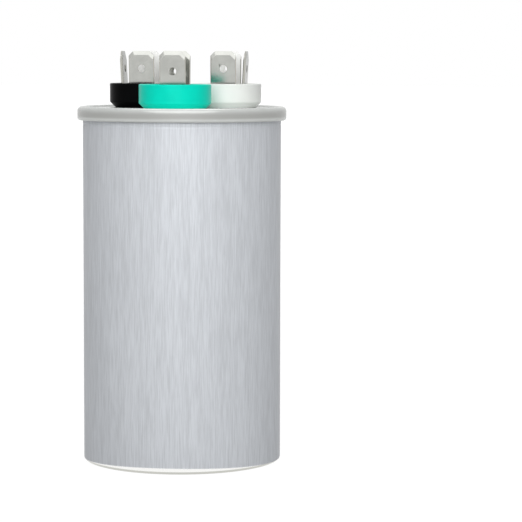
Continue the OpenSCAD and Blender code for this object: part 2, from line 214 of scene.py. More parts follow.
def skin(name: str, grid: Array, ring: bool, loop: bool = False) -> Piece:
    """Makes an object whose faces join neighbouring points of a grid.

    Points that fall together, as at a pole, are merged, and the faces are turned outward.

    Args:
        name: Name of the object.
        grid: Points (rows, columns, 3) in millimetres.
        ring: Whether the last column joins the first.
        loop: Whether the last row joins the first.

    Returns:
        The object, linked to the scene, at the origin.
    """
    rows, columns = grid.shape[:2]
    index = np.arange(rows * columns).reshape(rows, columns)
    index = np.hstack([index, index[:, :1]]) if ring else index
    index = np.vstack([index, index[:1]]) if loop else index
    quads = np.stack([index[:-1, :-1], index[:-1, 1:], index[1:, 1:], index[1:, :-1]], -1)
    mesh = bpy.data.meshes.new(name)
    mesh.from_pydata((grid.reshape(-1, 3) * MM).tolist(), [], quads.reshape(-1, 4).tolist())
    merge(mesh)
    piece = bpy.data.objects.new(name, mesh)
    bpy.context.scene.collection.objects.link(piece)
    return piece


def merge(mesh: bpy.types.Mesh) -> None:
    """Joins points that fall together and turns the faces outward.

    Args:
        mesh: Closed mesh, changed in place.
    """
    work = bmesh.new()
    work.from_mesh(mesh)
    bmesh.ops.remove_doubles(work, verts=work.verts, dist=1e-7)
    bmesh.ops.recalc_face_normals(work, faces=work.faces)
    work.to_mesh(mesh)
    work.free()


def combine(piece: Piece, tools: list[Piece], operation: str) -> None:
    """Adds or cuts closed meshes, one after another, and removes them.

    Args:
        piece: Object that is changed.
        tools: Objects that it is joined with or cut by.
        operation: "UNION" or "DIFFERENCE".
    """
    for tool in tools:
        step = piece.modifiers.new("combine", "BOOLEAN")
        step.operation, step.solver, step.object = operation, "EXACT", tool
        graph = bpy.context.evaluated_depsgraph_get()
        made = bpy.data.meshes.new_from_object(piece.evaluated_get(graph))
        piece.modifiers.clear()
        old, piece.data = piece.data, made
        bpy.data.meshes.remove(old)
        bpy.data.objects.remove(tool)


def smooth(piece: Piece, sharp: float = 32.0) -> Piece:
    """Shades a piece smooth, apart from edges sharper than an angle.

    Args:
        piece: Object to shade.
        sharp: The angle, in degrees.

    Returns:
        The same object.
    """
    piece.data.shade_smooth()
    piece.data.set_sharp_from_angle(angle=math.radians(sharp))
    return piece


def place(piece: Piece, at: Array, turn: float = 0.0) -> Piece:
    """Turns and moves the points of a piece, and leaves its object at the origin.

    Args:
        piece: Object whose mesh is moved.
        at: Where its origin goes, in millimetres.
        turn: Angle about Z first, in degrees.

    Returns:
        The same object.
    """
    move = Matrix.Translation(Vector(at) * MM) @ Matrix.Rotation(math.radians(turn), 4, "Z")
    piece.data.transform(move)
    return piece


def turned(name: str, profile: Array, sides: int, loop: bool = False) -> Piece:
    """Turns a profile round the Z axis: (r cos a, r sin a, z) for each point and angle a.

    Args:
        name: Name of the object.
        profile: Points (n, 2) as radius and height.
        sides: Number of angles.
        loop: Whether the last point joins the first, where neither is on the axis.

    Returns:
        The object.
    """
    a = np.linspace(0, 2 * math.pi, sides, endpoint=False)
    r, z = profile[:, :1], profile[:, 1:]
    grid = np.stack([r * np.cos(a), r * np.sin(a), z + 0 * a], axis=-1)
    return skin(name, grid, ring=True, loop=loop)


def round_bar(name: str, radius: float, low: float, high: float, edge: float = 0.0,
              sides: int = 64, over: float = 0.2) -> Piece:
    """Makes a bar about Z that widens by edge at both ends, to bevel what it cuts.

    Args:
        name: Name of the object.
        radius: Radius of the bar.
        low: Height of its lower end.
        high: Height of its upper end.
        edge: Width of the widening, which is at 45 degrees.
        sides: Number of faces round.
        over: How far it goes on beyond both ends.

    Returns:
        The bar.
    """
    wide = radius + edge + over
    profile = np.array([
        (0, low - over), (wide, low - over), (radius, low + edge),
        (radius, high - edge), (wide, high + over), (0, high + over)])
    return turned(name, profile, sides)


def slab(name: str, outline: Array, low: float, high: float) -> Piece:
    """Stands an outline up between two heights, closed at both ends.

    Args:
        name: Name of the object.
        outline: Closed outline (n, 2).
        low: Height of its underside.
        high: Height of its top.

    Returns:
        The object.
    """
    middle = outline.mean(axis=0) + 0 * outline
    levels = [(middle, low), (outline, low), (outline, high), (middle, high)]
    grid = np.stack([np.column_stack([xy, np.full(len(xy), z)]) for xy, z in levels])
    return skin(name, grid, ring=True)


# --------------------------------------------------------------------------- shader building


class Effect(Enum):
    """The effects that several finishes share, each a node group."""

    LINES = "drawn_lines"
    CLOUDS = "handling_clouds"
    SPECKS = "fine_specks"
    LAYERS = "wound_layers"


class Recipe:
    """The node tree of one material or group, with short calls for what the finishes use."""

    def __init__(self, tree: bpy.types.NodeTree) -> None:
        """Starts on an empty tree."""
        self.tree = tree
        tree.nodes.clear()

    def feed(self, node: Node, key: str | int, value: object) -> None:
        """Links an input of a node to a socket, or sets it to a value.

        Args:
            node: The node.
            key: Name or number of the input.
            value: The socket or the value.
        """
        if isinstance(value, Socket):
            self.tree.links.new(value, node.inputs[key])
        else:
            node.inputs[key].default_value = value

    def node(self, kind: str, inputs: dict | None = None, **settings: object) -> Node:
        """Adds a node.

        Args:
            kind: Its type name without the "ShaderNode" in front.
            inputs: Value or socket for each input, by name or number.
            **settings: Properties of the node.

        Returns:
            The node.
        """
        made = self.tree.nodes.new(kind if kind.startswith("NodeGroup") else "ShaderNode" + kind)
        for key, value in settings.items():
            setattr(made, key, value)
        for key, value in (inputs or {}).items():
            self.feed(made, key, value)
        return made

    def sum(self, kind: str, *values: object) -> Socket:
        """Returns a Math node's result, with an operation and its values or sockets."""
        return self.node("Math", dict(enumerate(values)), operation=kind).outputs[0]

    def weighed(self, *parts: tuple[object, object]) -> Socket:
        """Returns the sum of two values, each times its weight."""
        return self.sum("ADD", *(self.sum("MULTIPLY", *part) for part in parts))

    def blend(self, factor: object, low: object, high: object) -> Socket:
        """Returns low + factor * (high - low) as a colour."""
        ends = [(*end, 1.0) if isinstance(end, tuple) else end for end in (low, high)]
        return self.node("Mix", {0: factor, 6: ends[0], 7: ends[1]}, data_type="RGBA").outputs[2]

    def span(self, value: Socket, source: Pair, target: Pair) -> Socket:
        """Returns value carried from one range to another, clamped, with a smooth step."""
        inputs = {"Value": value, "From Min": source[0], "From Max": source[1],
                  "To Min": target[0], "To Max": target[1]}
        return self.node("MapRange", inputs, interpolation_type="SMOOTHSTEP").outputs[0]

    def step(self, length: Socket, low: float, high: float, ends: Pair = (0, 1)) -> Socket:
        """Returns ends[0] below one length and ends[1] above another, in millimetres."""
        return self.span(length, (low * MM, high * MM), ends)

    def noise(self, where: Socket, scale: object, detail: float, rough: float) -> Socket:
        """Returns a noise value of about 0.5, over a position."""
        inputs = {"Vector": where, "Scale": scale, "Detail": detail, "Roughness": rough}
        return self.node("TexNoise", inputs).outputs[0]

    def where(self) -> Socket:
        """Returns the Object coordinates."""
        return self.node("TexCoord").outputs["Object"]

    def stretched(self, x: object, y: object, z: object) -> Socket:
        """Returns the Object coordinates multiplied by a factor along each axis."""
        factors = self.node("CombineXYZ", {0: x, 1: y, 2: z}).outputs[0]
        return self.node("VectorMath", {0: self.where(), 1: factors},
                         operation="MULTIPLY").outputs[0]

    def axis(self, index: int) -> Socket:
        """Returns one of the Object coordinates."""
        return self.node("SeparateXYZ", {0: self.where()}).outputs[index]

    def from_axis(self) -> Socket:
        """Returns the distance from the Z axis, sqrt(x^2 + y^2)."""
        x, y = self.axis(0), self.axis(1)
        return self.sum("SQRT", self.weighed((x, x), (y, y)))

    def effect(self, kind: Effect, **values: float) -> bpy.types.NodeOutputs:
        """Places a shared effect, with its inputs by name, and returns its outputs."""
        return self.node("Group", values, node_tree=bpy.data.node_groups[kind.value]).outputs


def new_group(effect: Effect, inputs: dict[str, float], outputs: tuple[str, ...]) -> tuple:
    """Makes an empty node group with number sockets.

    Args:
        effect: Which effect it is, which names it.
        inputs: Name and standing value of each input.
        outputs: Names of the outputs.

    Returns:
        Recipe of the group, its input node and its output node.
    """
    tree = bpy.data.node_groups.new(effect.value, "ShaderNodeTree")
    for name, value in inputs.items():
        made = tree.interface.new_socket(name, in_out="INPUT", socket_type="NodeSocketFloat")
        made.default_value = value
    for name in outputs:
        tree.interface.new_socket(name, in_out="OUTPUT", socket_type="NodeSocketFloat")
    recipe = Recipe(tree)
    return recipe, recipe.node("NodeGroupInput"), recipe.node("NodeGroupOutput")


def build_lines(wider: float = 0.16, longer: float = 0.3) -> None:
    """LINES: noise over (x * across, y * across, z * along), fine and broad, for drawn metal.

    Args:
        wider: Scale of the broad lines across, as a share of the fine ones'.
        longer: The same along Z.
    """
    recipe, given, result = new_group(
        Effect.LINES, {"Across": 3.0, "Along": 0.1, "Broad": 0.35}, ("Lines", "Height"))
    across, along = (recipe.sum("MULTIPLY", given.outputs[name], 1 / MM)
                     for name in ("Across", "Along"))
    fine = recipe.noise(recipe.stretched(across, across, along), 1.0, 4.0, 0.6)
    wide, slow = recipe.sum("MULTIPLY", across, wider), recipe.sum("MULTIPLY", along, longer)
    broad = recipe.noise(recipe.stretched(wide, wide, slow), 1.0, 2.0, 0.5)
    share = given.outputs["Broad"]
    mixed = recipe.weighed((broad, share), (fine, recipe.sum("SUBTRACT", 1.0, share)))
    recipe.feed(result, "Lines", recipe.span(mixed, (0.34, 0.66), (0, 1)))
    recipe.feed(result, "Height", fine)


def build_effects() -> None:
    """Builds the shared node groups, with sizes in millimetres.

    LINES are in build_lines. CLOUDS: soft patches. SPECKS: isotropic grain. LAYERS: noise over
    the distance from the Z axis alone, so that it forms rings.
    """
    build_lines()
    for kind, size, detail, rough in ((Effect.CLOUDS, 6.0, 3.0, 0.5),
                                      (Effect.SPECKS, 0.2, 5.0, 0.65)):
        recipe, given, result = new_group(kind, {"Size": size}, ("Noise",))
        scale = recipe.sum("DIVIDE", 1 / MM, given.outputs["Size"])
        value = recipe.noise(recipe.where(), scale, detail, rough)
        value = recipe.span(value, MIDDLE, (0, 1)) if kind is Effect.CLOUDS else value
        recipe.feed(result, "Noise", value)

    recipe, given, result = new_group(Effect.LAYERS, {"Pitch": 0.3}, ("Rings",))
    out = recipe.sum("MULTIPLY", recipe.from_axis(), 1 / MM)
    count = recipe.sum("DIVIDE", out, given.outputs["Pitch"])
    rings = recipe.node("TexNoise", {"W": count, "Scale": 1.0, "Detail": 2.0},
                        noise_dimensions="1D").outputs[0]
    recipe.feed(result, "Rings", recipe.span(rings, MIDDLE, (0, 1)))


# ---------------------------------------------------------------------------------- finishes


@dataclass(frozen=True)
class Finish:
    """A finish that one material slot of the record has.

    Attributes:
        slot: Name of the slot.
        colour: Base colour, linear.
        roughness: Roughness of the shader, before its pattern.
        metallic: Share of metal.
        gloss: Specular level of the shader.
        grazed: What part of its mirror a metal keeps at a glancing angle.
        tone: How much lighter (or, below 0, darker) its pattern makes it at 0, and at 1.
        uneven: Least and greatest roughness, as shares of it.
        cloud_size: Size of its soft patches.
        speck_size: Size of its grain.
        depth: Depth of its relief.
    """

    slot: str
    colour: Colour
    roughness: float
    metallic: float = 0.0
    gloss: float = 0.5
    grazed: float = 1.0
    tone: Pair = (-0.06, 0.06)
    uneven: Pair = (0.8, 1.2)
    cloud_size: float = 5.0
    speck_size: float = 0.25
    depth: float = 0.004

    def material(self) -> bpy.types.Material:
        """Makes the material of this finish at its first use.

        Returns:
            The material.
        """
        name = self.slot + "_finish"
        if name in bpy.data.materials:
            return bpy.data.materials[name]
        made = bpy.data.materials.new(name)
        made.use_nodes = True
        recipe = Recipe(made.node_tree)
        shader = recipe.node("BsdfPrincipled", {
            "Base Color": (*self.colour, 1.0), "Roughness": self.roughness,
            "Metallic": self.metallic, "Specular IOR Level": self.gloss,
            "Specular Tint": (self.grazed, self.grazed, self.grazed, 1.0)})
        self.pattern(recipe, shader)
        recipe.node("OutputMaterial", {"Surface": shader.outputs[0]})
        return made

    def pattern(self, recipe: Recipe, shader: Node) -> None:
        """Adds what varies over the surface. Each kind of finish has its own.

        Args:
            recipe: The material's recipe.
            shader: Its shader.
        """
        raise NotImplementedError

    def shade(self, amount: float) -> Colour:
        """Returns the base colour made lighter, or darker where amount is negative."""
        return tuple(min(1.0, c * (1 + amount)) for c in self.colour)

    def tones(self, recipe: Recipe, factor: Socket) -> Socket:
        """Returns the colour between its two tones, by a factor from 0 to 1."""
        return recipe.blend(factor, *map(self.shade, self.tone))

    def clouds(self, recipe: Recipe) -> Socket:
        """Returns the value of its soft patches."""
        return recipe.effect(Effect.CLOUDS, Size=self.cloud_size)[0]

    def specks(self, recipe: Recipe) -> Socket:
        """Returns the value of its grain."""
        return recipe.effect(Effect.SPECKS, Size=self.speck_size)[0]

    def dull(self, recipe: Recipe, shader: Node, value: Socket, source: Pair = (0, 1)) -> None:
        """Gives a shader its least to its greatest roughness, by a value from a range."""
        rough = tuple(share * self.roughness for share in self.uneven)
        recipe.feed(shader, "Roughness", recipe.span(value, source, rough))

    def emboss(self, recipe: Recipe, shader: Node, height: Socket) -> None:
        """Gives a shader a relief, of the finish's depth where height is 1."""
        inputs = {"Strength": 1.0, "Distance": self.depth * MM, "Height": height}
        recipe.feed(shader, "Normal", recipe.node("Bump", inputs).outputs[0])

    def dress(self, piece: Piece) -> None:
        """Puts the material in every material slot of an object.

        Args:
            piece: The object.
        """
        if not piece.material_slots:
            piece.data.materials.append(self.material())
        for place_in in piece.material_slots:
            place_in.material = self.material()


@dataclass(frozen=True)
class DrawnAluminium(Finish):
    """Aluminium drawn and brushed along Z, with a painted reflection and a painted shade at its
    foot.

    Attributes:
        lines: Lines per millimetre across and along, and the share of broad ones.
        mottle: How much of a lighter mottling shows, and how much lighter it is.
        foot: Height of the foot's painted reflection at its sides, and what it gains in front and
            behind.
        radius: Radius of the can.
        soft: Half the width over which the foot ends.
        foot_shade_heights: Heights between which the painted shade at the foot's edge ends.
        foot_shade: Colour of that edge, a painted shade.
        foot_reflection: Colour of the foot band, a painted reflection of the floor.
        bare_metal: The foot's share of metal and its roughness.
    """

    tone: Pair = (-0.1, 0.1)
    speck_size: float = 0.5
    depth: float = 0.012
    lines: tuple[float, float, float] = (3.6, 0.17, 0.25)
    mottle: Pair = (0.12, 0.25)
    foot: Pair = (0.4, 1.1)
    radius: float = 23.7
    soft: float = 0.12
    foot_shade_heights: Pair = (0.56, 0.76)
    foot_shade: Colour = (0.58, 0.58, 0.54)
    foot_reflection: Colour = (0.93, 0.93, 0.91)
    bare_metal: Pair = (0.95, 0.14)

    def pattern(self, recipe: Recipe, shader: Node) -> None:
        """Lines give the colour and the relief, and the foot is smooth bare metal.

        The foot's bright band, a painted reflection, reaches foot[0] + foot[1] * (y / radius)^2,
        and its very edge is darker, a painted shade.
        """
        across, along, broad = self.lines
        lines = recipe.effect(Effect.LINES, Across=across, Along=along, Broad=broad)
        height = recipe.axis(2)
        share = recipe.sum("ABSOLUTE", recipe.sum("DIVIDE", recipe.axis(1), self.radius * MM))
        gain = recipe.sum("MULTIPLY", recipe.sum("POWER", share, 2.0), self.foot[1] * MM)
        above = recipe.sum("SUBTRACT", height, recipe.sum("ADD", gain, self.foot[0] * MM))
        wall = recipe.step(above, -self.soft, self.soft)
        # The foot band is a painted reflection of the floor, and its lowest edge a painted shade.
        bare = recipe.blend(recipe.step(height, *self.foot_shade_heights), self.foot_shade, self.foot_reflection)
        shows, lighter = self.mottle
        mottled = recipe.sum("MULTIPLY", self.specks(recipe), shows)
        colour = recipe.blend(mottled, self.tones(recipe, lines["Lines"]), self.shade(lighter))
        recipe.feed(shader, "Base Color", recipe.blend(wall, bare, colour))
        for name, foot, drawn in zip(("Metallic", "Roughness"), self.bare_metal,
                                     (self.metallic, self.roughness)):
            recipe.feed(shader, name, recipe.span(wall, (0, 1), (foot, drawn)))
        self.emboss(recipe, shader, lines["Height"])


@dataclass(frozen=True)
class RolledSheet(Finish):
    """Plated sheet with soft clouds of handling and a fine rolled grain.

    Attributes:
        speckled: Share of the grain in the colour and the roughness.
    """

    speckled: float = 0.3

    def pattern(self, recipe: Recipe, shader: Node) -> None:
        """Clouds change the colour and the roughness, and the grain is a relief."""
        clouds, specks = self.clouds(recipe), self.specks(recipe)
        mixed = recipe.weighed((clouds, 1 - self.speckled), (specks, self.speckled))
        sheet = self.worked(recipe, shader, self.tones(recipe, mixed))
        recipe.feed(shader, "Base Color", sheet)
        self.dull(recipe, shader, mixed)
        self.emboss(recipe, shader, specks)

    def worked(self, recipe: Recipe, shader: Node, sheet: Socket) -> Socket:
        """Adds tool marks, painted highlight and painted shade to the sheet: none, on a plain
        sheet.

        Args:
            recipe: The material's recipe.
            shader: Its shader.
            sheet: Colour of the sheet as it was rolled.

        Returns:
            The colour.
        """
        return sheet


@dataclass(frozen=True)
class SeamedSheet(RolledSheet):
    """Sheet of a double seam, with painted shade on the lower middle of its outer wall.

    Attributes:
        wall_shade: Colour of the painted shade on the wall.
        rolled: Distances from the axis between which the painted shade starts, on the outer wall.
        fade_in: Heights between which the painted shade starts.
        fade_out: Heights between which it ends.
    """

    wall_shade: Colour = (0.40, 0.405, 0.39)
    rolled: Pair = (24.3, 24.4)
    fade_in: Pair = (82.2, 82.9)
    fade_out: Pair = (83.3, 84.7)

    def worked(self, recipe: Recipe, shader: Node, sheet: Socket) -> Socket:
        """Returns the colour with painted shade on the wall, a share of height and distance."""
        height = recipe.axis(2)
        band = recipe.sum("MULTIPLY", recipe.step(height, *self.fade_in),
                          recipe.step(height, *self.fade_out, ends=(1, 0)))
        wall = recipe.step(recipe.from_axis(), *self.rolled)
        return recipe.blend(recipe.sum("MULTIPLY", band, wall), sheet, self.wall_shade)


class Mark(Enum):
    """Attributes in which a stamping carries its painted highlight and its cut edges, from 0 to
    1.
    """

    FROSTED = "frosted"
    CUT = "cut"


@dataclass(frozen=True)
class StampedSheet(RolledSheet):
    """Plated strip after stamping, with a painted highlight on inner faces and darker cut edges.

    Attributes:
        highlight_colour: Colour of the painted highlight on the legs' inner faces.
        highlight_metallic: Their share of metal.
        bare: Colour of the cut edges: bare metal, darkened as a painted shade line along them.
    """

    highlight_colour: Colour = (0.95, 0.95, 0.93)
    highlight_metallic: float = 0.0
    bare: Colour = (0.42, 0.415, 0.38)

    def worked(self, recipe: Recipe, shader: Node, sheet: Socket) -> Socket:
        """Returns the colour with painted highlight and cut edges; highlighted faces are less
        metallic.
        """
        # Painted highlight on the legs' inner faces; cut edges darker, partly a painted shade
        # line.
        frosted, cut = (recipe.node("Attribute", attribute_name=mark.value).outputs["Fac"]
                        for mark in Mark)
        metal = recipe.span(frosted, (0, 1), (self.metallic, self.highlight_metallic))
        recipe.feed(shader, "Metallic", metal)
        return recipe.blend(cut, recipe.blend(frosted, sheet, self.highlight_colour), self.bare)


@dataclass(frozen=True)
class Moulding(Finish):
    """Moulded plastic or rubber: faint flow marks, a fine grain and, where set, painted light
    below.

    Attributes:
        pale: How much lighter it is painted below: painted light on the bevel that faces down.
        painted_light_from: Heights between which that painted light starts.
    """

    tone: Pair = (-0.03, 0.03)
    uneven: Pair = (0.9, 1.15)
    cloud_size: float = 4.0
    speck_size: float = 0.18
    depth: float = 0.003
    pale: float = 0.0
    painted_light_from: Pair = (85.8, 86.1)

    def pattern(self, recipe: Recipe, shader: Node) -> None:
        """Flow marks and painted light below change the colour, the grain the roughness and the
        relief.
        """
        colour, specks = self.tones(recipe, self.clouds(recipe)), self.specks(recipe)
        # Painted light: the bevel below faces down into shade, and is painted lighter there.
        if self.pale:
            below = recipe.step(recipe.axis(2), *self.painted_light_from, ends=(1, 0))
            colour = recipe.blend(below, colour, self.shade(self.pale))
        recipe.feed(shader, "Base Color", colour)
        self.dull(recipe, shader, specks, MIDDLE)
        self.emboss(recipe, shader, specks)


@dataclass(frozen=True)
class Fibres(Finish):
    """Pressed board or resin-bonded paper: short fibres that lie round the axis.

    Attributes:
        fibres: Fibres per millimetre across the board and along the axis.
        speckled: Share of the specks between them.
    """

    tone: Pair = (-0.22, 0.15)
    speck_size: float = 0.3
    depth: float = 0.03
    fibres: Pair = (0.9, 4.5)
    speckled: float = 0.4

    def pattern(self, recipe: Recipe, shader: Node) -> None:
        """Stretched noise is the fibres' colour and relief, with specks between them."""
        across, along = (count / MM for count in self.fibres)
        fibres = recipe.noise(recipe.stretched(across, across, along), 1.0, 4.0, 0.55)
        parts = (fibres, 1 - self.speckled), (self.specks(recipe), self.speckled)
        mixed = recipe.weighed(*parts)
        spread = recipe.span(mixed, (0.35, 0.65), (0, 1))
        recipe.feed(shader, "Base Color", self.tones(recipe, spread))
        self.emboss(recipe, shader, mixed)


@dataclass(frozen=True)
class WoundFilm(Finish):
    """The turns of a wound film, as rings on its ends.

    Attributes:
        pitch: Distance between rings that can be told apart.
    """

    tone: Pair = (-0.18, 0.14)
    uneven: Pair = (0.8, 1.3)
    cloud_size: float = 8.0
    depth: float = 0.02
    pitch: float = 0.3

    def pattern(self, recipe: Recipe, shader: Node) -> None:
        """Rings give the colour and the relief, and clouds the roughness."""
        rings = recipe.effect(Effect.LAYERS, Pitch=self.pitch)[0]
        recipe.feed(shader, "Base Color", self.tones(recipe, rings))
        self.dull(recipe, shader, self.clouds(recipe))
        self.emboss(recipe, shader, rings)


@dataclass(frozen=True)
class SprayedZinc(Finish):
    """Zinc sprayed on the winding's ends: coarse grains, dull grey.

    Attributes:
        grains: Grains per millimetre.
        shares: Weights of the grains and of the pits between them.
    """

    tone: Pair = (0.3, -0.35)
    speck_size: float = 0.4
    depth: float = 0.12
    grains: float = 2.6
    shares: Pair = (0.6, 0.5)

    def pattern(self, recipe: Recipe, shader: Node) -> None:
        """Cells are the grains, and specks the pits between them."""
        scaled = recipe.stretched(*[self.grains / MM] * 3)
        grains = recipe.node("TexVoronoi", {"Vector": scaled, "Scale": 1.0}).outputs["Distance"]
        mixed = recipe.weighed(*zip((grains, self.specks(recipe)), self.shares))
        recipe.feed(shader, "Base Color", self.tones(recipe, mixed))
        self.emboss(recipe, shader, recipe.sum("SUBTRACT", 1.0, mixed))


TIN: Colour = (0.44, 0.445, 0.42)
FINISHES: dict[str, Finish] = {f.slot: f for f in (
    DrawnAluminium("can_aluminium", (0.61, 0.632, 0.665), 0.42, 0.22, gloss=0.05),
    SeamedSheet("cover_tinplate", (0.56, 0.575, 0.56), 0.24, 0.5, gloss=0.05,
                tone=(-0.04, 0.04), uneven=(0.95, 1.05), speck_size=1.5, depth=0.002),
    Moulding("seam_compound", (0.10, 0.11, 0.08), 0.7, gloss=0.3, tone=(-0.15, 0.15)),
    Moulding("black_plastic", (0.0022, 0.0024, 0.0025), 0.3, gloss=0.02, tone=(-0.2, 0.2)),
    Moulding("turquoise_plastic", (0.002, 0.72, 0.545), 0.3, gloss=0.08, pale=0.3),
    Moulding("white_plastic", (0.85, 0.87, 0.84), 0.32, gloss=0.2, tone=(-0.02, 0.02),
             pale=0.13),
    StampedSheet("tinned_brass", TIN, 0.17, 1.0, tone=(-0.08, 0.08), cloud_size=2.5,
                 speck_size=0.15, grazed=0.75),
    RolledSheet("plated_rivet", (0.52, 0.52, 0.5), 0.2, 1.0, tone=(-0.05, 0.05),
                cloud_size=1.5),
    Moulding("black_rubber", (0.012, 0.012, 0.012), 0.75, gloss=0.3, tone=(-0.25, 0.25),
             depth=0.01),
    Fibres("hard_paper", (0.23, 0.11, 0.045), 0.5),
    RolledSheet("tag_brass", (0.60, 0.49, 0.27), 0.28, 1.0, tone=(-0.12, 0.12),
                cloud_size=2.0),
    Moulding("insulator_plastic", (0.72, 0.67, 0.52), 0.4, tone=(-0.05, 0.05)),
    Fibres("insulating_board", (0.56, 0.43, 0.25), 0.75),
    Moulding("core_plastic", (0.80, 0.79, 0.74), 0.35, tone=(-0.02, 0.02)),
    WoundFilm("metallised_film", (0.44, 0.45, 0.44), 0.3, 0.6),
    WoundFilm("plain_film", (0.66, 0.70, 0.63), 0.2, pitch=0.12),
    SprayedZinc("sprayed_zinc", (0.24, 0.245, 0.255), 0.65, 0.75),
    Moulding("black_insulation", (0.010, 0.010, 0.010), 0.45, gloss=0.35),
    Moulding("green_insulation", (0.02, 0.17, 0.07), 0.45, gloss=0.35),
    Moulding("red_insulation", (0.36, 0.025, 0.018), 0.45, gloss=0.35),
)}


# ------------------------------------------------------------------------------------ pieces


def node_box(node: str) -> tuple[Array, Array]:
    """Returns the lowest and highest corner of a solid, in millimetres."""
    low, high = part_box(node)
    return np.array(low) / MM, np.array(high) / MM


def fit_out(piece: Piece, node: str) -> None:
    """Finishes a new piece that stands for one solid.

    Args:
        piece: The piece, in place.
        node: Name of the solid, whose slot in the record names the finish.
    """
    smooth(piece)
    slots = {part["node"]: part["material_slot"] for part in frame["record"]["subparts"]}
    FINISHES[slots[node]].dress(piece)
    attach(piece, "root")
    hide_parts(node)
    LOG.info("%s: %d faces, for %s", piece.name, len(piece.data.polygons), node)


@dataclass(frozen=True)
class SeamedCan:
    """The drawn can and the cover that is folded round its edge in a double seam.

    Attributes:
        wall: Thickness of the can's wall.
        floor: Thickness of its floor.
        corner: Outer radius between wall and floor.
        belts: Heights above that corner at which the wall has a ring of points.
        sheet: Thickness of the cover.
        gap: Gap between the folded layers.
        low: Height of the seam's lower edge.
        hook_short: How far each hook stops short of the fold that it points into.
        roll_mark: Depth of the mark that the seaming rolls leave under the seam.
        roll_width: Width of that mark.
        roll_drop: Distance of the mark below the seam.
        groove: Depth of the groove inside the seam.
        groove_radius: Inside radius of its bottom.
        panel_edge: Outer radius of the panel's edge.
        sides: Number of faces round.
    """

    wall: float = 0.5
    floor: float = 0.7
    corner: float = 0.7
    belts: tuple[float, ...] = tuple(range(10, 80, 10))
    sheet: float = 0.325
    gap: float = 0.05
    low: float = 81.7
    hook_short: float = 0.12
    roll_mark: float = 0.05
    roll_width: float = 0.9
    roll_drop: float = 1.0
    groove: float = 3.2
    groove_radius: float = 0.45
    panel_edge: float = 0.7
    sides: int = 288

    def sizes(self) -> dict[str, float]:
        """Works out the folds from the solids' boxes and the record.

        Returns:
            The can's radius, the folds' radii, and the heights of the seam and of its folds.
        """
        top = node_box("lid")[1][2]
        mounts = {m["name"]: m for m in frame["record"]["mounts"]}
        hook_in = self.sheet / 2 + self.gap
        crown_in = hook_in + self.wall + self.gap
        under_in = self.wall / 2 + self.gap
        return {
            "can_r": mounts["strap_seat"]["dims"]["r_mm"], "hook_in": hook_in,
            "crown_in": crown_in, "under_in": under_in, "top": top,
            "crown_z": top - crown_in - self.sheet,
            "hook_z": node_box("can")[1][2] - hook_in - self.wall,
            "under_z": self.low + under_in + self.sheet,
        }

    def can(self) -> Piece:
        """The can: floor, round foot, wall, rolls' mark and the hook at its edge.

        Returns:
            The piece.
        """
        s = self.sizes()
        half = self.roll_width / 2
        bow = 2 * math.atan(self.roll_mark / half)
        radius, degrees = half / 2 / math.sin(bow), math.degrees(bow)
        mark_z = self.low - self.roll_drop
        line = FoldedLine((0.0, 0.0), 0.0).run(s["can_r"] - self.corner)
        line.bend(self.corner, 90).run(mark_z - half - self.corner, self.belts)
        line.bend(radius, degrees).bend(radius, -2 * degrees).bend(radius, degrees)
        line.run(s["hook_z"] - mark_z - half).bend(s["hook_in"], -180)
        line.run(s["hook_z"] - s["under_z"] - self.hook_short)
        z = line.face()[0][:, 1]
        low = np.clip(1 - z / self.corner, 0, 1)
        thickness = self.wall + (self.floor - self.wall) * low
        return turned("drawn_can", line.section(thickness, from_axis=True), self.sides)

    def cover(self, necks: list[Piece]) -> Piece:
        """The cover: hook, fold, seam's wall, crown, groove and raised panel.

        Args:
            necks: Bars that cut the holes for the cups' necks.

        Returns:
            The piece.
        """
        s = self.sizes()
        hook = s["hook_z"] - self.hook_short - s["under_z"]
        groove_z = s["top"] - self.groove + self.groove_radius
        panel_z = node_box("common_gasket")[0][2]
        line = FoldedLine((s["can_r"] + self.gap, s["under_z"] + hook), -90.0).run(hook)
        line.bend(s["under_in"] + self.sheet, 180).run(s["crown_z"] - s["under_z"])
        line.bend(s["crown_in"] + self.sheet, 180).run(s["crown_z"] - groove_z)
        line.bend(self.groove_radius, -180).run(panel_z - self.panel_edge - groove_z)
        line.bend(self.panel_edge, 90)
        line.run(line.points[-1][-1][0])
        piece = turned("seamed_cover", line.section(self.sheet, from_axis=False), self.sides)
        combine(piece, necks, "DIFFERENCE")
        return piece


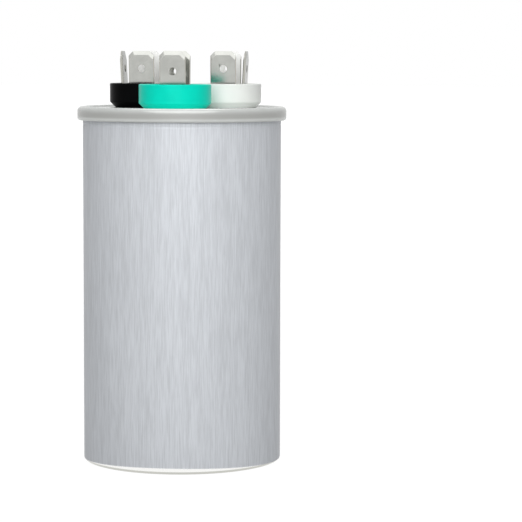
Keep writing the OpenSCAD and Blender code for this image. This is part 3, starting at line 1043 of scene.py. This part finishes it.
@dataclass(frozen=True)
class Terminal:
    """One terminal: its cup, its blades and its rivet.

    Attributes:
        name: First word of its solids' names.
        sides: Sides of the cup that have a blade, in degrees from +X.
        reach: Distance from the cup's middle to its blades' feet.
        across: The same for the strip that crosses the first.
        cup_wall: Thickness of the cup's wall.
        cup_floor: Thickness of its floor.
        bevel: Bevel round its foot.
        rim: Rounding of its rim.
        neck: Radius of its neck, in the cover's hole.
        seat_corner: Rounding of the seat's corners.
        play: Clearance round the blades in the seat.
        fit: Clearance round the rivet, the gasket and the neck.
        width: Width of a blade.
        thickness: Thickness of a blade.
        bend: Inside radius at a blade's foot.
        lean: Lean of a blade outward, in degrees.
        shy: How far a blade's faces lie inside those of its solid.
        crossed: How much farther those of a crossing strip do.
        edge: Bevel of a blade's long edges.
        columns: Distances from a long edge at which a blade has points.
        rows: The same from the tip: the least, the limit and the step.
        tip_short: How far a tip stops short of its solid's.
        tip_length: Length of the bevel at a tip.
        tip_thickness: Thickness at the end of a tip.
        tip_corner: Corner cut at each side of a tip.
        latch: Radius of the latch hole.
        latch_drop: Distance of that hole from the tip.
        latch_edge: Bevel of that hole.
        frosted: How strongly the painted highlight shows on the blades' inner faces.
        shank: Radius of the rivet's shank.
        head: Height of its heads.
        bore: Radius of its bore.
        bore_depth: Height of the bore's end above the lower head.
    """

    name: str
    sides: tuple[int, ...]
    reach: float
    across: float = 4.85
    cup_wall: float = 1.3
    cup_floor: float = 1.8
    bevel: float = 1.35
    rim: float = 0.3
    neck: float = 3.3
    seat_corner: float = 0.3
    play: float = 0.15
    fit: float = 0.08
    width: float = 6.3
    thickness: float = 0.8
    bend: float = 0.6
    lean: float = 3.0
    shy: float = 0.07
    crossed: float = 0.002
    edge: float = 0.2
    columns: tuple[float, ...] = (0, 0.1, 0.2, 0.3, 0.45, 0.6, 0.8, 1.0, 1.2, 1.4)
    rows: tuple[float, float, float] = (0.07, 2.5, 0.09)
    tip_short: float = 0.02
    tip_length: float = 0.9
    tip_thickness: float = 0.4
    tip_corner: float = 1.1
    latch: float = 0.9
    latch_drop: float = 4.2
    latch_edge: float = 0.07
    frosted: float = 1.0
    shank: float = 1.5
    head: float = 0.9
    bore: float = 0.8
    bore_depth: float = 2.2

    def sizes(self) -> dict[str, float | Array]:
        """Reads the terminal's place and sizes from its solids.

        Returns:
            The axis on the ground, the radii and the heights of its pieces.
        """
        cup, gasket, rivet, blades = (
            node_box(f"{self.name}_{piece}") for piece in ("cup", "gasket", "rivet", "blades"))
        return {
            "axis": (cup[0] + cup[1]) / 2 * (1, 1, 0), "cup_r": (cup[1][0] - cup[0][0]) / 2,
            "rim_z": cup[1][2], "neck_z": cup[0][2],
            "panel_z": gasket[0][2], "pocket_z": gasket[1][2],
            "pocket_r": (gasket[1][0] - gasket[0][0]) / 2 + self.fit,
            "head_r": (rivet[1][0] - rivet[0][0]) / 2, "head_z": rivet[1][2],
            "foot_z": rivet[0][2], "base_z": blades[0][2], "tip_z": blades[1][2],
        }

    def strips(self) -> list[tuple[int, bool, float, float]]:
        """Lists the strips that cross in the stamping.

        Returns:
            Each strip's side, whether it has two blades, its inset and its reach.
        """
        through = (90, True, self.shy, self.reach)
        crossing = (0, 180 in self.sides, self.shy + self.crossed, self.across)
        return [through, crossing] if 0 in self.sides else [through]

    def neck_bar(self) -> Piece:
        """Makes the bar that cuts the cover's hole for this terminal.

        Returns:
            The bar, in place.
        """
        p = self.sizes()
        low, high = p["panel_z"] - CLEAR, p["panel_z"] + CLEAR
        return place(round_bar("neck_bar", self.neck + self.fit, low, high), p["axis"])

    def cup(self) -> Piece:
        """The cup: a turned section, cut by the seats of its blades.

        Returns:
            The piece.
        """
        p = self.sizes()
        base, rim, out = p["panel_z"], p["rim_z"], p["cup_r"]
        bore, floor = self.shank + self.fit, base + self.cup_floor
        sharp, mouth, eased, shoulder, inside = 0.05, 0.08, 0.15, 0.25, 0.35  # roundings
        section = rounded_outline([
            (bore, p["neck_z"], sharp), (self.neck, p["neck_z"], eased),
            (self.neck, p["pocket_z"], sharp), (p["pocket_r"], p["pocket_z"], sharp),
            (p["pocket_r"], base, mouth), (out - self.bevel, base, eased),
            (out, base + self.bevel, shoulder), (out, rim, self.rim),
            (out - self.cup_wall, rim, self.rim), (out - self.cup_wall, floor, inside),
            (bore, floor, sharp)])
        piece = turned(self.name + "_terminal_cup", section, 192, loop=True)
        combine(piece, [self.seat_block(*strip) for strip in self.strips()], "DIFFERENCE")
        return place(piece, p["axis"])

    def seat_block(self, side: int, paired: bool, inset: float, reach: float) -> Piece:
        """Makes the block that cuts the seat of a strip, from the floor up.

        Args:
            side: Which side of the cup the strip stands on, in degrees from +X.
            paired: Whether it has a second blade on the opposite side.
            inset: How far its faces lie inside those of its solid.
            reach: Distance from the middle to a blade's foot.

        Returns:
            The block, about the terminal's axis.
        """
        p = self.sizes()
        lift, wide = inset - self.shy, self.width / 2 + self.play
        length = reach + self.thickness / 2 + self.play
        start, corner = (-length, self.seat_corner) if paired else (0.0, 0.02)
        outline = rounded_outline([
            (start, -wide, corner), (length, -wide, self.seat_corner),
            (length, wide, self.seat_corner), (start, wide, corner)])
        block = slab("seat", outline, p["base_z"] + lift, p["rim_z"] + CLEAR + lift)
        return place(block, (0, 0, 0), side)

    def strip(self, side: int, paired: bool, inset: float, reach: float) -> Piece:
        """One strip: a section with rounded edges, carried along a folded line.

        The line runs out from the middle, bends up and leans outward. Over the tip the section
        loses its corners at 45 degrees. A paired strip is the same line with its mirror image
        in front, so it runs through the middle from tip to tip.

        Args:
            side: Which side of the cup it stands on, in degrees from +X.
            paired: Whether it has a second blade on the opposite side.
            inset: How far its faces lie inside those of its solid.
            reach: Distance from the middle to a blade's foot.

        Returns:
            The strip, about the terminal's axis.
        """
        p = self.sizes()
        lean = math.radians(self.lean)
        upward = np.array([math.sin(lean), math.cos(lean)])
        out, neutral = self.bend + self.thickness, self.bend + self.thickness / 2
        rise = p["tip_z"] - self.tip_short - p["base_z"]
        foot = reach - neutral * upward[1]
        leg = (rise - out + neutral * upward[0]) / upward[1]
        beside, past = 0.1, 1.0  # a paired line starts beside the middle, a single one past it
        start = beside if paired else -past
        line = FoldedLine((start, 0.0), 0.0, steps=12).run(foot - start)
        line.bend(out, 90 - self.lean).run(leg, (leg / 2, *(leg - np.arange(*self.rows))))
        at, normal = line.face()
        from_tip = np.linalg.norm(at - at[-1], axis=1)
        hole = at[-1] - upward * self.latch_drop
        if paired:
            mirror = np.array([-1.0, 1.0])
            at = np.vstack([at[::-1] * mirror, at])
            normal = np.vstack([normal[::-1] * mirror, normal])
            from_tip = np.concatenate([from_tip[::-1], from_tip])
        half = self.width / 2 - inset - np.clip(self.tip_corner - from_tip, 0, None)
        near_side = half[:, None] - np.array(self.columns)
        inner = near_side[:, -1:] * (0.75, 0.5, 0.25, 0.0)
        y = np.hstack([near_side, inner, -inner[:, -2::-1], -near_side[:, ::-1]])
        deep = self.thickness_at(y, half[:, None], from_tip[:, None]) / 2 - inset
        middle = (at + normal * self.thickness / 2)[:, None]
        flat = np.concatenate([middle + normal[:, None] * deep[..., None],
                               middle - normal[:, None] * deep[:, ::-1, None]], axis=1)
        grid = np.stack([flat[..., 0], np.hstack([y, y[:, ::-1]]), flat[..., 1]], axis=-1)
        caps = grid.mean(axis=1, keepdims=True) + 0 * grid
        grid = np.concatenate([caps[:1], grid, caps[-1:]])
        blade = skin(f"{self.name}_strip_{side}", grid, ring=True)
        turns = (0, 180) if paired else (0,)
        combine(blade, [self.latch_bar(hole, turn) for turn in turns], "DIFFERENCE")
        return place(blade, (0, 0, p["base_z"]), side)

    def thickness_at(self, y: Array, half: Array, from_tip: Array) -> Array:
        """Thickness of a blade over its face, bevelled along its sides and round its tip.

        Beside a long edge it is thickness - 2 * edge * (1 - distance / edge). Beside the end and
        the cut corners it is tip_thickness + (thickness - tip_thickness) * distance / tip_length,
        where the distance to a corner's cut is (half width - corner + from_tip - |y|) / sqrt 2.

        Args:
            y: Positions across the blade.
            half: Half width of the blade there.
            from_tip: Distances from the tip.

        Returns:
            The thickness at each position.
        """
        beside = np.clip(1 - (half - np.abs(y)) / self.edge, 0, 1)
        cut = (self.width / 2 - self.tip_corner + from_tip - np.abs(y)) / math.sqrt(2)
        near = np.clip(np.minimum(from_tip, cut) / self.tip_length, 0, 1)
        tip = self.tip_thickness + (self.thickness - self.tip_thickness) * near
        return np.minimum(self.thickness - 2 * self.edge * beside, tip)

    def latch_bar(self, hole: Array, turn: float) -> Piece:
        """Makes the bar that cuts a latch hole, widened where it leaves the blade.

        Args:
            hole: Where its axis meets the blade's outer face, (across, up).
            turn: Angle about Z of the blade.

        Returns:
            The bar.
        """
        bar = round_bar("latch_bar", self.latch, 0, self.thickness, self.latch_edge, sides=48)
        bar.data.transform(Matrix.Rotation(math.radians(self.lean - 90), 4, "Y"))
        bar.data.transform(Matrix.Translation((hole[0] * MM, 0, hole[1] * MM)))
        return place(bar, (0, 0, 0), turn)

    def blades(self) -> Piece:
        """The stamping: crossed strips joined in one piece, with the rivet's hole.

        Returns:
            The piece.
        """
        p = self.sizes()
        piece, *crossing = [self.strip(*strip) for strip in self.strips()]
        combine(piece, crossing, "UNION")
        low, high = p["base_z"] - CLEAR, p["base_z"] + 2 * CLEAR
        combine(piece, [round_bar("shank", self.shank + self.fit, low, high)], "DIFFERENCE")
        piece.name = self.name + "_blade_stamping"
        self.mark(piece.data)
        return place(piece, p["axis"])

    def mark(self, mesh: bpy.types.Mesh, facing: float = 0.7, aside: float = 0.5) -> None:
        """Writes on each face whether it gets the painted highlight, and whether it is cut.

        A face belongs to the side whose direction its centre lies farthest along. It gets the
        painted highlight where it stands in a leg of the first strip and faces the axis, and is
        cut where it faces sideways.

        Args:
            mesh: The stamping, about the terminal's axis.
            facing: Cosine of the angle within which a face is taken to face the axis.
            aside: Sine of the angle beyond which it is taken to face sideways.
        """
        sides = np.radians(self.sides)
        ways = np.column_stack([np.cos(sides), np.sin(sides)])
        centre, normal = np.empty((2, len(mesh.polygons), 3))
        mesh.polygons.foreach_get("center", centre.reshape(-1))
        mesh.polygons.foreach_get("normal", normal.reshape(-1))
        along = centre[:, :2] @ ways.T
        way = ways[along.argmax(axis=1)]
        leg = along.max(axis=1) > (min(self.reach, self.across) - self.thickness) * MM
        inward = -np.sum(normal[:, :2] * way, axis=1)
        sideways = np.abs(normal[:, 1] * way[:, 0] - normal[:, 0] * way[:, 1])
        # The inner faces of the first strip's legs get the painted highlight.
        inside = leg & (inward > facing) & (np.abs(way[:, 1]) > np.abs(way[:, 0]))
        for mark, value in ((Mark.FROSTED, self.frosted * inside), (Mark.CUT, sideways > aside)):
            layer = mesh.attributes.new(mark.value, "FLOAT", "FACE")
            layer.data.foreach_set("value", value.astype(np.float32))

    def rivet(self) -> Piece:
        """The rivet: domed heads r = sqrt(ball^2 - h^2) on a shank, bored from below.

        Returns:
            The piece.
        """
        p = self.sizes()
        chamfer, waist, point = 0.05, p["head_r"] - 0.02, 0.3
        ball = (p["head_r"] ** 2 + self.head ** 2) / (2 * self.head)
        sweep = np.linspace(0, math.asin(p["head_r"] / ball), 12)
        dome = np.column_stack([ball * np.sin(sweep), ball * (np.cos(sweep) - 1)])
        lower = (dome * (1, -1) + (0, p["foot_z"]))[::-1]
        lower = lower[lower[:, 0] > self.bore + chamfer]
        upper_z, lower_z = p["head_z"] - self.head, p["foot_z"] + self.head
        deep = p["foot_z"] + self.bore_depth
        shaft = [(waist, upper_z), (self.shank, upper_z), (self.shank, lower_z), (waist, lower_z)]
        inside = [(self.bore, lower[-1, 1] + chamfer), (self.bore, deep), (0, deep + point)]
        profile = np.vstack([dome + (0, p["head_z"]), shaft, lower, inside])
        return place(turned(self.name + "_terminal_rivet", profile, 64), p["axis"])


# ------------------------------------------------------------------------------------- studio


@dataclass(frozen=True)
class Studio:
    """The floor, the light and the camera.

    Attributes:
        bearing: Direction that the camera stands in, in degrees about Z from -Y.
        distance: Distance of the camera from the can's axis.
        height: Height of the camera.
        yaw: Turn of the camera to its right, in degrees.
        pitch: Tilt of the camera downward, in degrees.
        roll: Turn of the camera about its view, in degrees.
        lens: Focal length for a sensor 36 wide.
        ambient: Strength of the world's light on the object.
        floor_half: Half the side of the floor.
        floor_grey: Colour of the floor under the lamps.
        floor_far: Distances from the object between which the floor gets brighter.
        floor_glow: How bright it is on its own at those distances.
        floor_share: What part of that shows, the rest being lit by the lamps.
    """

    bearing: float = 8.3
    distance: float = 539.75
    height: float = 97.76
    yaw: float = 2.017
    pitch: float = 5.288
    roll: float = 0.155
    lens: float = 155.08
    ambient: float = 0.285
    floor_half: float = 6000.0
    floor_grey: Colour = (0.3, 0.3, 0.3)
    floor_far: Pair = (60.0, 600.0)
    floor_glow: Pair = (1.42, 1.65)
    floor_share: float = 0.66

    def camera(self) -> None:
        """Makes the scene's camera.

        It looks along (sin yaw cos pitch, cos yaw cos pitch, -sin pitch), turned by bearing.
        """
        data = bpy.data.cameras.new("studio_camera")
        data.lens, data.sensor_width = self.lens, 36.0
        data.clip_start, data.clip_end = 0.01, 50.0
        made = bpy.data.objects.new("studio_camera", data)
        bpy.context.scene.collection.objects.link(made)
        yaw, pitch, roll = map(math.radians, (self.yaw, self.pitch, self.roll))
        view = Vector((math.sin(yaw) * math.cos(pitch), math.cos(yaw) * math.cos(pitch),
                       -math.sin(pitch)))
        level = Vector((math.cos(yaw), -math.sin(yaw), 0))
        upright = level.cross(view)
        right = level * math.cos(roll) + upright * math.sin(roll)
        up = upright * math.cos(roll) - level * math.sin(roll)
        pose = Matrix((right, up, -view)).transposed().to_4x4()
        pose.translation = Vector((0, -self.distance, self.height)) * MM
        made.matrix_world = Matrix.Rotation(math.radians(self.bearing), 4, "Z") @ pose
        bpy.context.scene.camera = made

    def seen(self, recipe: Recipe) -> Socket:
        """Tells rays that look at the surroundings: camera, glossy or through glass.

        Args:
            recipe: Recipe of the material or world that asks.

        Returns:
            1 for such a ray, and 0 for one that only carries light.
        """
        rays = recipe.node("LightPath").outputs
        mirrored = recipe.sum("MAXIMUM", rays["Is Glossy Ray"], rays["Is Transmission Ray"])
        return recipe.sum("MAXIMUM", rays["Is Camera Ray"], mirrored)

    def world(self) -> None:
        """White surroundings, which light the object less than they show."""
        world = bpy.data.worlds.new("studio")
        world.use_nodes = True
        recipe = Recipe(world.node_tree)
        strength = recipe.node("MapRange", {
            "Value": self.seen(recipe), "To Min": self.ambient, "To Max": 1.0}).outputs[0]
        light = recipe.node("Background", {"Color": (1, 1, 1, 1), "Strength": strength})
        recipe.node("OutputWorld", {"Surface": light.outputs[0]})
        bpy.context.scene.world = world

    def floor(self) -> None:
        """A wide pale floor that shows near white and keeps the object's shadow."""
        ends = [-self.floor_half, self.floor_half]
        grid = np.stack(np.meshgrid(ends, ends, [0.0], indexing="ij"), axis=-1)[:, :, 0]
        made = skin("studio_floor", grid, ring=False)
        if made.data.polygons[0].normal.z < 0:
            made.data.flip_normals()
        material = bpy.data.materials.new("studio_floor")
        material.use_nodes = True
        recipe = Recipe(material.node_tree)
        matt = recipe.node("BsdfDiffuse", {"Color": (*self.floor_grey, 1)})
        away = recipe.node("VectorMath", {0: recipe.where()}, operation="LENGTH").outputs["Value"]
        bright = recipe.step(away, *self.floor_far, ends=self.floor_glow)
        plain = recipe.node("Emission", {"Color": (1, 1, 1, 1), "Strength": bright})
        share = recipe.sum("MULTIPLY", self.seen(recipe), self.floor_share)
        mixed = recipe.node("MixShader", {0: share, 1: matt.outputs[0], 2: plain.outputs[0]})
        recipe.node("OutputMaterial", {"Surface": mixed.outputs[0]})
        made.data.materials.append(material)

    @staticmethod
    def lamp(name: str, azimuth: float, elevation: float, away: float, light: float,
             glow: float, mirrored: bool = True) -> None:
        """Hangs a square soft lamp that faces the object.

        Its side is away * sqrt(pi * light / glow).

        Args:
            name: Name of the lamp.
            azimuth: Direction about Z from -Y, in degrees.
            elevation: Height above the horizon, in degrees.
            away: Distance in metres.
            light: Light on a surface that faces it, where 1 shows a colour as written.
            glow: Its own brightness, where 1 is white.
            mirrored: Whether it shows in metal, on top of the white behind it.
        """
        data = bpy.data.lights.new(name, "AREA")
        data.shape = "SQUARE"
        data.size = away * math.sqrt(math.pi * light / glow)
        data.energy = light * math.pi ** 2 * away ** 2
        made = bpy.data.objects.new(name, data)
        bpy.context.scene.collection.objects.link(made)
        made.visible_camera = False
        made.visible_glossy = mirrored
        a, e = math.radians(azimuth), math.radians(elevation)
        back = Vector((math.sin(a) * math.cos(e), -math.cos(a) * math.cos(e), math.sin(e)))
        middle = (CAD_BOX[0] + CAD_BOX[1]) / 2
        made.location = middle + back * away
        made.rotation_mode = "QUATERNION"
        made.rotation_quaternion = back.to_track_quat("Z", "Y")

    def build(self) -> None:
        """Builds the studio and sets how colours are shown."""
        self.camera()
        self.world()
        self.floor()
        front, rear = self.bearing, self.bearing + 180
        self.lamp("front_softbox", front, 41.0, away=0.35, light=0.47, glow=1.0)
        self.lamp("front_fill", front, 19.0, away=0.27, light=0.46, glow=3.0, mirrored=False)
        self.lamp("top_softbox", rear, 66.0, away=1.0, light=0.2, glow=1.8)
        self.lamp("rear_fill", rear, 30.0, away=1.2, light=0.45, glow=3.0, mirrored=False)
        bpy.context.scene.view_settings.view_transform = "Standard"


# --------------------------------------------------------------------------------------- main


def dress_solids() -> None:
    """Gives every solid that still shows the finish that the record names for it."""
    for part in frame["record"]["subparts"]:
        solid = frame["nodes"][part["node"]]
        if not solid.hide_render:
            FINISHES[part["material_slot"]].dress(solid)
            LOG.info("%s keeps its solid, in %s", part["node"], part["material_slot"])


def main() -> None:
    """Builds the studio, the effects and the pieces, in order."""
    logging.basicConfig(level=logging.INFO, format="%(name)s: %(message)s")
    Studio().build()
    build_effects()
    terminals = (
        Terminal("common", sides=(0, 90, 180, 270), reach=4.85),
        Terminal("fan", sides=(90, 270), reach=3.65, latch_drop=4.7, frosted=0.0),
        Terminal("compressor", sides=(0, 90, 270), reach=4.85, across=4.4))
    vessel = SeamedCan()
    fit_out(vessel.can(), "can")
    fit_out(vessel.cover([terminal.neck_bar() for terminal in terminals]), "lid")
    for terminal in terminals:
        fit_out(terminal.cup(), terminal.name + "_cup")
        fit_out(terminal.blades(), terminal.name + "_blades")
        fit_out(terminal.rivet(), terminal.name + "_rivet")
    dress_solids()


if __name__ == "__main__":
    main()
